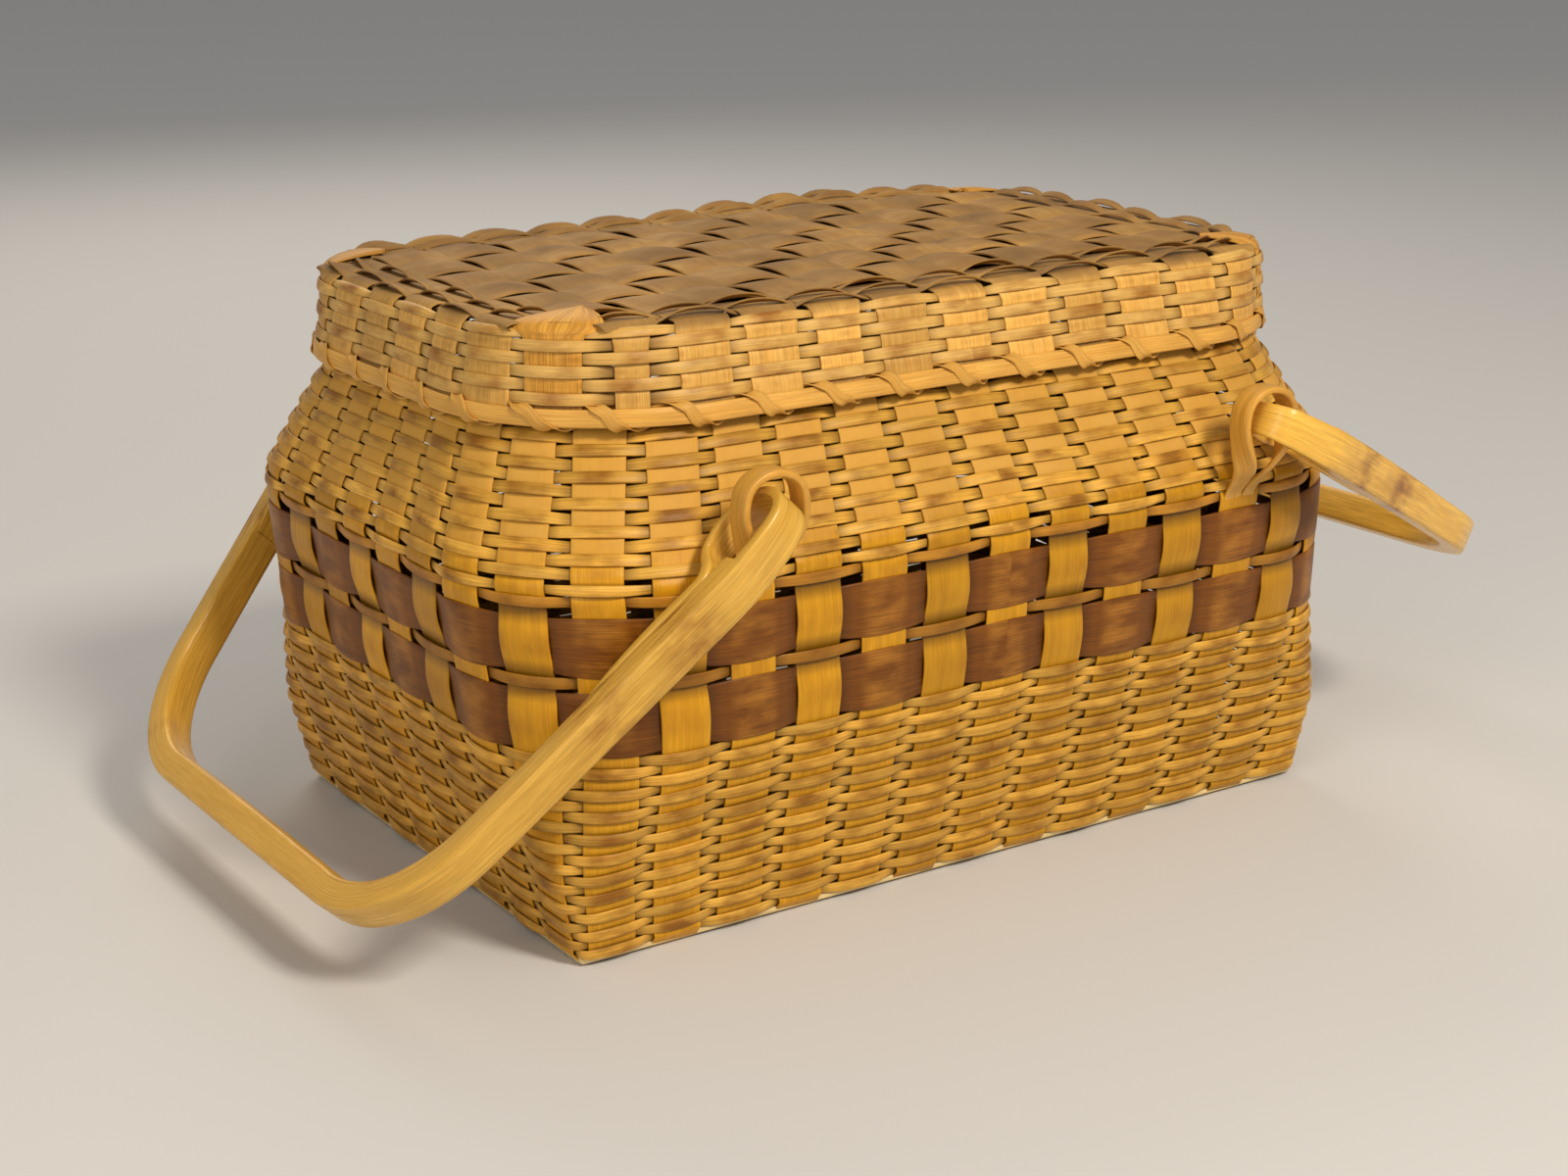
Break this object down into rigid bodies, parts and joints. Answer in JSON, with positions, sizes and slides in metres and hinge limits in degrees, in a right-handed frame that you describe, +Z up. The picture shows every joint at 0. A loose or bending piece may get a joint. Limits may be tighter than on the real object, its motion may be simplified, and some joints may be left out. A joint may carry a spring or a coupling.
{
  "type": "sewing basket",
  "caption": "Oblong lidded sewing basket woven from flat splints, with a lift-off lid and two bent-wood swing handles on looped ears.",
  "frame": {"origin": "centre of the underside of the base, on the surface that the basket stands on", "axes": "+X along the length, -Y to the front, +Z up"},
  "size_m": [0.5957, 0.369, 0.247],
  "materials": {
    "standard_splint": "matte",
    "weaver_splint": "matte",
    "brown_splint": "matte",
    "rim_splint": "matte",
    "lid_top_splint": "matte",
    "ear_wood": "satin",
    "bail_wood": "satin"
  },
  "bodies": {
    "basket": {"cross_standard_01": "standard_splint", "cross_standard_02": "standard_splint", "cross_standard_03": "standard_splint", "cross_standard_04": "standard_splint", "cross_standard_05": "standard_splint", "cross_standard_06": "standard_splint", "cross_standard_07": "standard_splint", "cross_standard_08": "standard_splint", "cross_standard_09": "standard_splint", "cross_standard_10": "standard_splint", "cross_standard_11": "standard_splint", "cross_standard_12": "standard_splint", "cross_standard_13": "standard_splint", "long_standard_01": "standard_splint", "long_standard_02": "standard_splint", "long_standard_03": "standard_splint", "long_standard_04": "standard_splint", "long_standard_05": "standard_splint", "long_standard_06": "standard_splint", "long_standard_07": "standard_splint", "long_standard_08": "standard_splint", "long_standard_09": "standard_splint", "lower_weavers": "weaver_splint", "brown_weaver_lower": "brown_splint", "divider_weaver": "weaver_splint", "brown_weaver_upper": "brown_splint", "fold_weaver": "weaver_splint", "shoulder_weavers": "weaver_splint", "neck_rim_inner": "rim_splint", "neck_rim_outer": "rim_splint", "neck_lashing": "rim_splint", "ear_front_left": "ear_wood", "ear_front_right": "ear_wood", "ear_back_left": "ear_wood", "ear_back_right": "ear_wood"},
    "bail_left": {"bail_left": "bail_wood"},
    "bail_right": {"bail_right": "bail_wood"},
    "lid": {"lid_cross_splints": "lid_top_splint", "lid_long_splints": "lid_top_splint", "lid_corner_splints": "lid_top_splint", "lid_top_weavers": "lid_top_splint", "lid_skirt_weavers": "weaver_splint", "lid_rim_inner": "rim_splint", "lid_rim_outer": "rim_splint", "lid_lashing": "rim_splint"}
  },
  "joints": [
    {"name": "bail_left_swing", "type": "hinge", "parent": "basket", "child": "bail_left", "pos_m": [-0.12321, 0, 0.183], "axis": [0, 1, 0], "range_deg": [-7, 168]},
    {"name": "bail_right_swing", "type": "hinge", "parent": "basket", "child": "bail_right", "pos_m": [0.12321, 0, 0.183], "axis": [0, -1, 0], "range_deg": [-26, 149]},
    {"name": "lid_lift", "type": "slide", "parent": "basket", "child": "lid", "axis": [0, 0, 1], "range_m": [0, 0.2]}
  ]
}
